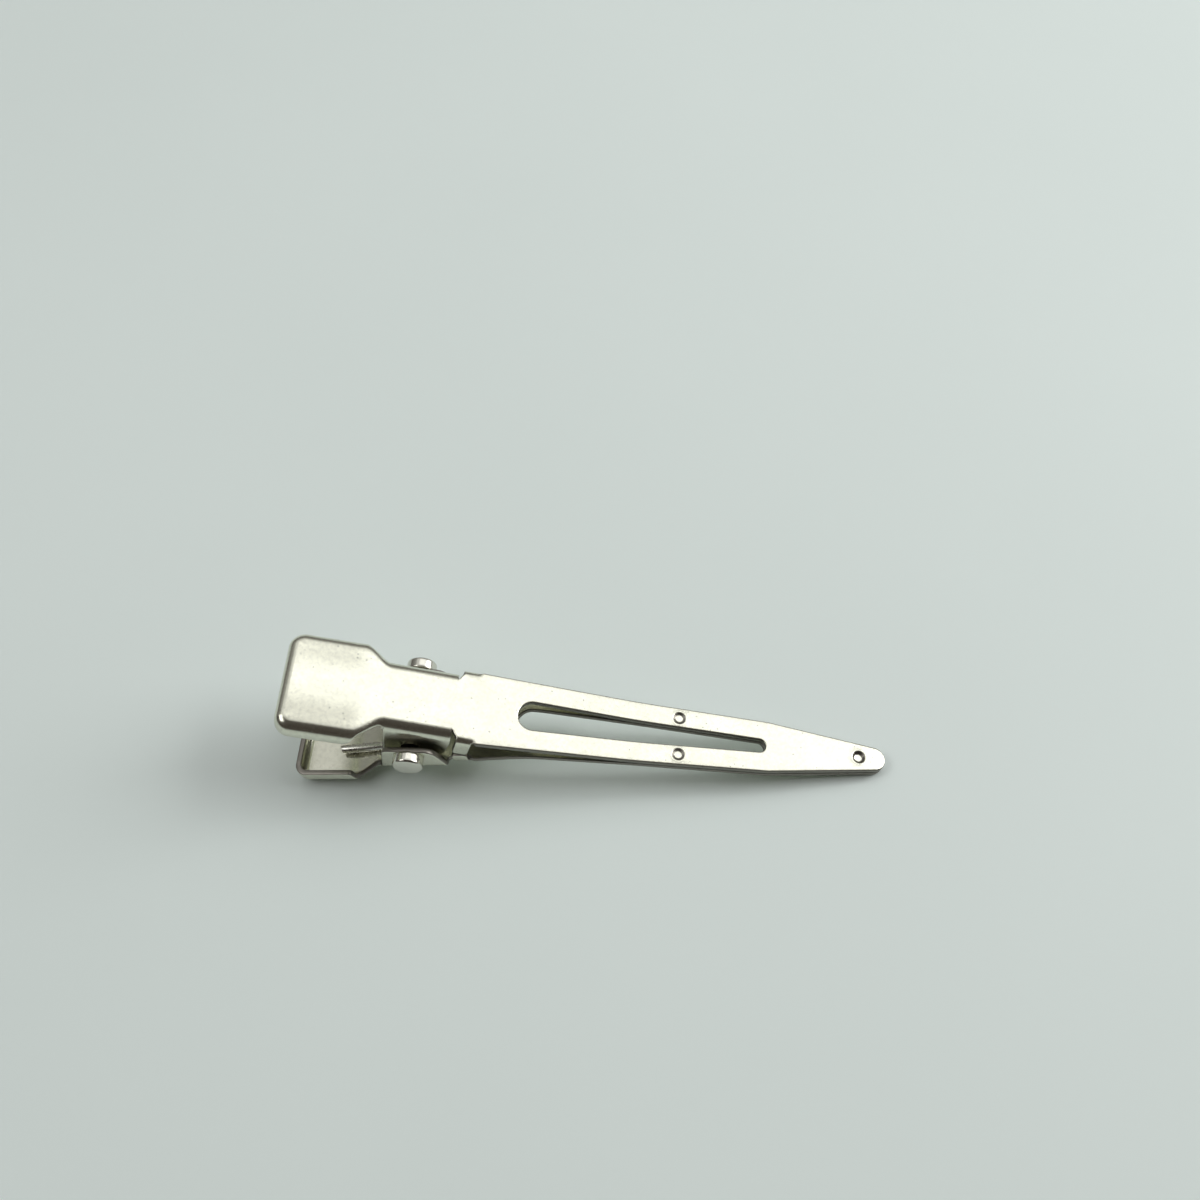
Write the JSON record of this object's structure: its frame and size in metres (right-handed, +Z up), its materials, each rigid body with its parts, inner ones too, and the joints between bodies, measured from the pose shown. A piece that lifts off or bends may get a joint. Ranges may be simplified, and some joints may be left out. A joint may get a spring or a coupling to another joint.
{
  "type": "sectioning clip",
  "caption": "Slotted duckbill hair clip of pressed steel, with finger pads, a riveted hinge and a torsion spring that keeps its jaws closed.",
  "frame": {"origin": "on the table, under the middle of the closed clip as it lies on its tip and lower lever", "axes": "+X from the levers towards the tip, +Y across the clip to the left, +Z up from the table"},
  "size_m": [0.0594, 0.0118, 0.0115],
  "materials": {
    "pressed_steel": "bright nickel plate, faintly mottled",
    "rivet_steel": "bright nickel plate",
    "spring_wire": "plated hard-drawn wire"
  },
  "bodies": {
    "lower_body": {"lower_half": "pressed_steel", "pivot_rivet": "rivet_steel", "torsion_spring": "spring_wire"},
    "upper_body": {"upper_half": "pressed_steel"}
  },
  "joints": [
    {"name": "jaw_hinge", "type": "hinge", "parent": "lower_body", "child": "upper_body", "pos_m": [-0.01743, 0, 0.005], "axis": [0, -1, 0], "range_deg": [0, 36], "stiffness_Nm_per_rad": 0.05, "springref_deg": -22.92, "deforming": ["torsion_spring"]}
  ]
}
